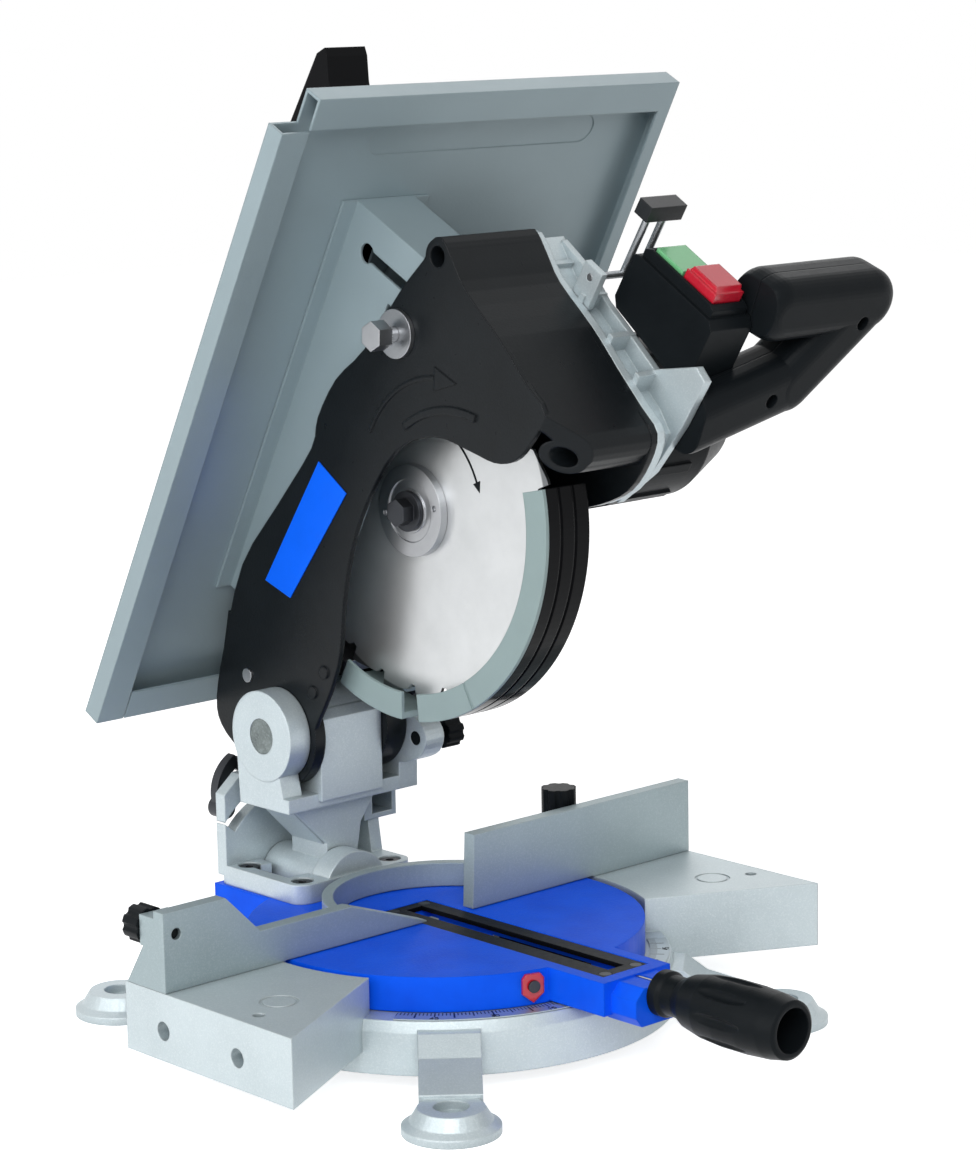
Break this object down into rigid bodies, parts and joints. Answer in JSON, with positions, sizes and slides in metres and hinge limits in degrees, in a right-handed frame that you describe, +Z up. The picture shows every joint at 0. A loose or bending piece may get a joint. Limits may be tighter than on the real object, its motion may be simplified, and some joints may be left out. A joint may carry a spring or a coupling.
{
  "type": "mitre saw",
  "caption": "Mitre saw with a tilting chop head, geared motor, swinging blade guard, turntable base with fence, and a folded-sheet upper saw table.",
  "frame": {"origin": "on the bench plane, at the centre of the four foot holes and on the mitre axis", "axes": "+X to the operator's right along the fence, +Y away from the operator, +Z up; rest pose has the head raised and square"},
  "size_m": [0.3899, 0.4538, 0.5225],
  "materials": {
    "cast_silver": "satin, fine cast texture",
    "blue_paint": "satin enamel with a fine texture",
    "black_cast": "satin black paint",
    "black_plastic": "moulded, satin",
    "gloss_black": "glossy",
    "table_grey": "satin paint on folded sheet",
    "steel": "machined",
    "dark_steel": "blackened",
    "scale_alu": "printed strip",
    "red_plastic": "glossy",
    "green_plastic": "glossy",
    "label_blue": "bare adhesive panel",
    "copper": "wound and laminated",
    "guard_grey": "moulded, satin"
  },
  "bodies": {
    "base": {"base_casting": "cast_silver", "mitre_scale": "scale_alu", "fence": "cast_silver", "fence_bolts": "dark_steel", "mitre_pivot_bolt": "steel", "mitre_pivot_nut": "steel"},
    "left_fence_knob": {"fence_knob_left": "black_plastic"},
    "right_fence_knob": {"fence_knob_right": "black_plastic"},
    "turntable_group": {"turntable": "blue_paint", "kerf_plate": "black_plastic", "small_screws": "dark_steel", "pointer": "red_plastic", "column_bracket": "cast_silver", "column_bolts": "dark_steel", "bevel_pin": "steel", "bevel_stop_screw": "dark_steel"},
    "mitre_handle": {"mitre_knob": "black_plastic", "mitre_lock_screw": "steel"},
    "yoke": {"bevel_yoke": "cast_silver", "chop_shaft": "steel", "bevel_clamp_bolt": "steel"},
    "bevel_lever": {"bevel_clamp_lever": "dark_steel"},
    "lock_pin": {"head_lock_pin": "black_plastic"},
    "saw_head": {"blade_cover": "black_cast", "rear_guard": "guard_grey", "label_plate": "label_blue", "cover_screws": "dark_steel", "gear_housing": "cast_silver", "motor_bracket": "cast_silver", "motor_housing": "black_plastic", "motor_end_cap": "black_plastic", "motor_stator": "dark_steel", "brush_caps": "black_plastic", "return_spring": "steel", "handle_lower": "black_plastic", "handle_upper": "black_plastic", "handle_screws": "dark_steel", "switch_box": "black_plastic", "riving_knife": "steel", "table_clamp_bolt": "steel", "table_clamp_washer": "steel", "table_hinge_pin": "steel", "spindle_bearings": "steel", "armature_bearings": "steel"},
    "green_button": {"start_button": "green_plastic"},
    "red_button": {"stop_button": "red_plastic"},
    "release_bail": {"guard_release_lever": "steel"},
    "swing_guard": {"lower_guard": "gloss_black", "guard_ring": "guard_grey"},
    "blade_spindle": {"saw_blade": "steel", "inner_flange": "steel", "outer_flange": "steel", "arbor_bolt": "dark_steel", "spindle": "steel", "driven_gear": "steel"},
    "motor_armature": {"armature": "copper"},
    "rising_table": {"upper_table": "table_grey", "table_skirt": "table_grey"},
    "top_hood": {"blade_hood": "gloss_black", "hood_pin": "steel"}
  },
  "joints": [
    {"name": "mitre_turn", "type": "hinge", "parent": "base", "child": "turntable_group", "pos_m": [0, 0, 0.045], "axis": [0, 0, 1], "range_deg": [-45, 45]},
    {"name": "left_knob_turn", "type": "hinge", "parent": "base", "child": "left_fence_knob", "pos_m": [-0.182, 0.025, 0.086], "axis": [0, 1, 0], "range_deg": [-180, 180]},
    {"name": "right_knob_turn", "type": "hinge", "parent": "base", "child": "right_fence_knob", "pos_m": [0.107, 0.022, 0.09], "axis": [0, 0, 1], "range_deg": [-180, 180]},
    {"name": "mitre_knob_turn", "type": "hinge", "parent": "turntable_group", "child": "mitre_handle", "pos_m": [0, -0.2, 0.05], "axis": [0, 1, 0], "range_deg": [-180, 180]},
    {"name": "bevel_tilt", "type": "hinge", "parent": "turntable_group", "child": "yoke", "pos_m": [0, 0.114, 0.057], "axis": [0, -1, 0], "range_deg": [0, 45]},
    {"name": "bevel_lever_turn", "type": "hinge", "parent": "yoke", "child": "bevel_lever", "pos_m": [0, 0.1535, 0.107], "axis": [0, 1, 0], "range_deg": [-35, 10]},
    {"name": "lock_pin_push", "type": "slide", "parent": "yoke", "child": "lock_pin", "axis": [1, 0, 0], "range_m": [-0.004, 0]},
    {"name": "chop", "type": "hinge", "parent": "yoke", "child": "saw_head", "pos_m": [0, 0.105, 0.147], "axis": [1, 0, 0], "range_deg": [0, 52.5], "stiffness_Nm_per_rad": 7, "springref_deg": -85.94},
    {"name": "blade_spin", "type": "hinge", "parent": "saw_head", "child": "blade_spindle", "pos_m": [0, 0.01565, 0.27866], "axis": [1, 0, 0], "continuous": true},
    {"name": "armature_spin", "type": "hinge", "parent": "saw_head", "child": "motor_armature", "pos_m": [0, 0.00609, 0.31337], "axis": [1, 0, 0], "continuous": true},
    {"name": "guard_swing", "type": "hinge", "parent": "saw_head", "child": "swing_guard", "pos_m": [0, 0.01565, 0.27866], "axis": [1, 0, 0], "range_deg": [-94.1, 0.1]},
    {"name": "table_tip", "type": "hinge", "parent": "saw_head", "child": "rising_table", "pos_m": [0, 0.13331, 0.1753], "axis": [1, 0, 0], "range_deg": [0, 3.5]},
    {"name": "hood_swing", "type": "hinge", "parent": "saw_head", "child": "top_hood", "pos_m": [0, 0.18175, 0.24685], "axis": [1, 0, 0], "range_deg": [-18, 0]},
    {"name": "start_press", "type": "slide", "parent": "saw_head", "child": "green_button", "axis": [0, 0.5299, -0.848], "range_m": [0, 0.003], "stiffness_N_per_m": 400},
    {"name": "stop_press", "type": "slide", "parent": "saw_head", "child": "red_button", "axis": [0, 0.5299, -0.848], "range_m": [0, 0.003], "stiffness_N_per_m": 400},
    {"name": "release_lift", "type": "hinge", "parent": "saw_head", "child": "release_bail", "pos_m": [0.069, -0.07083, 0.40385], "axis": [1, 0, 0], "range_deg": [-12, 0], "stiffness_Nm_per_rad": 0.3, "springref_deg": 5.73}
  ],
  "couplings": [
    {"joint": "guard_swing", "follows": "chop", "ratio": -1.7905},
    {"joint": "armature_spin", "follows": "blade_spin", "ratio": -3}
  ]
}
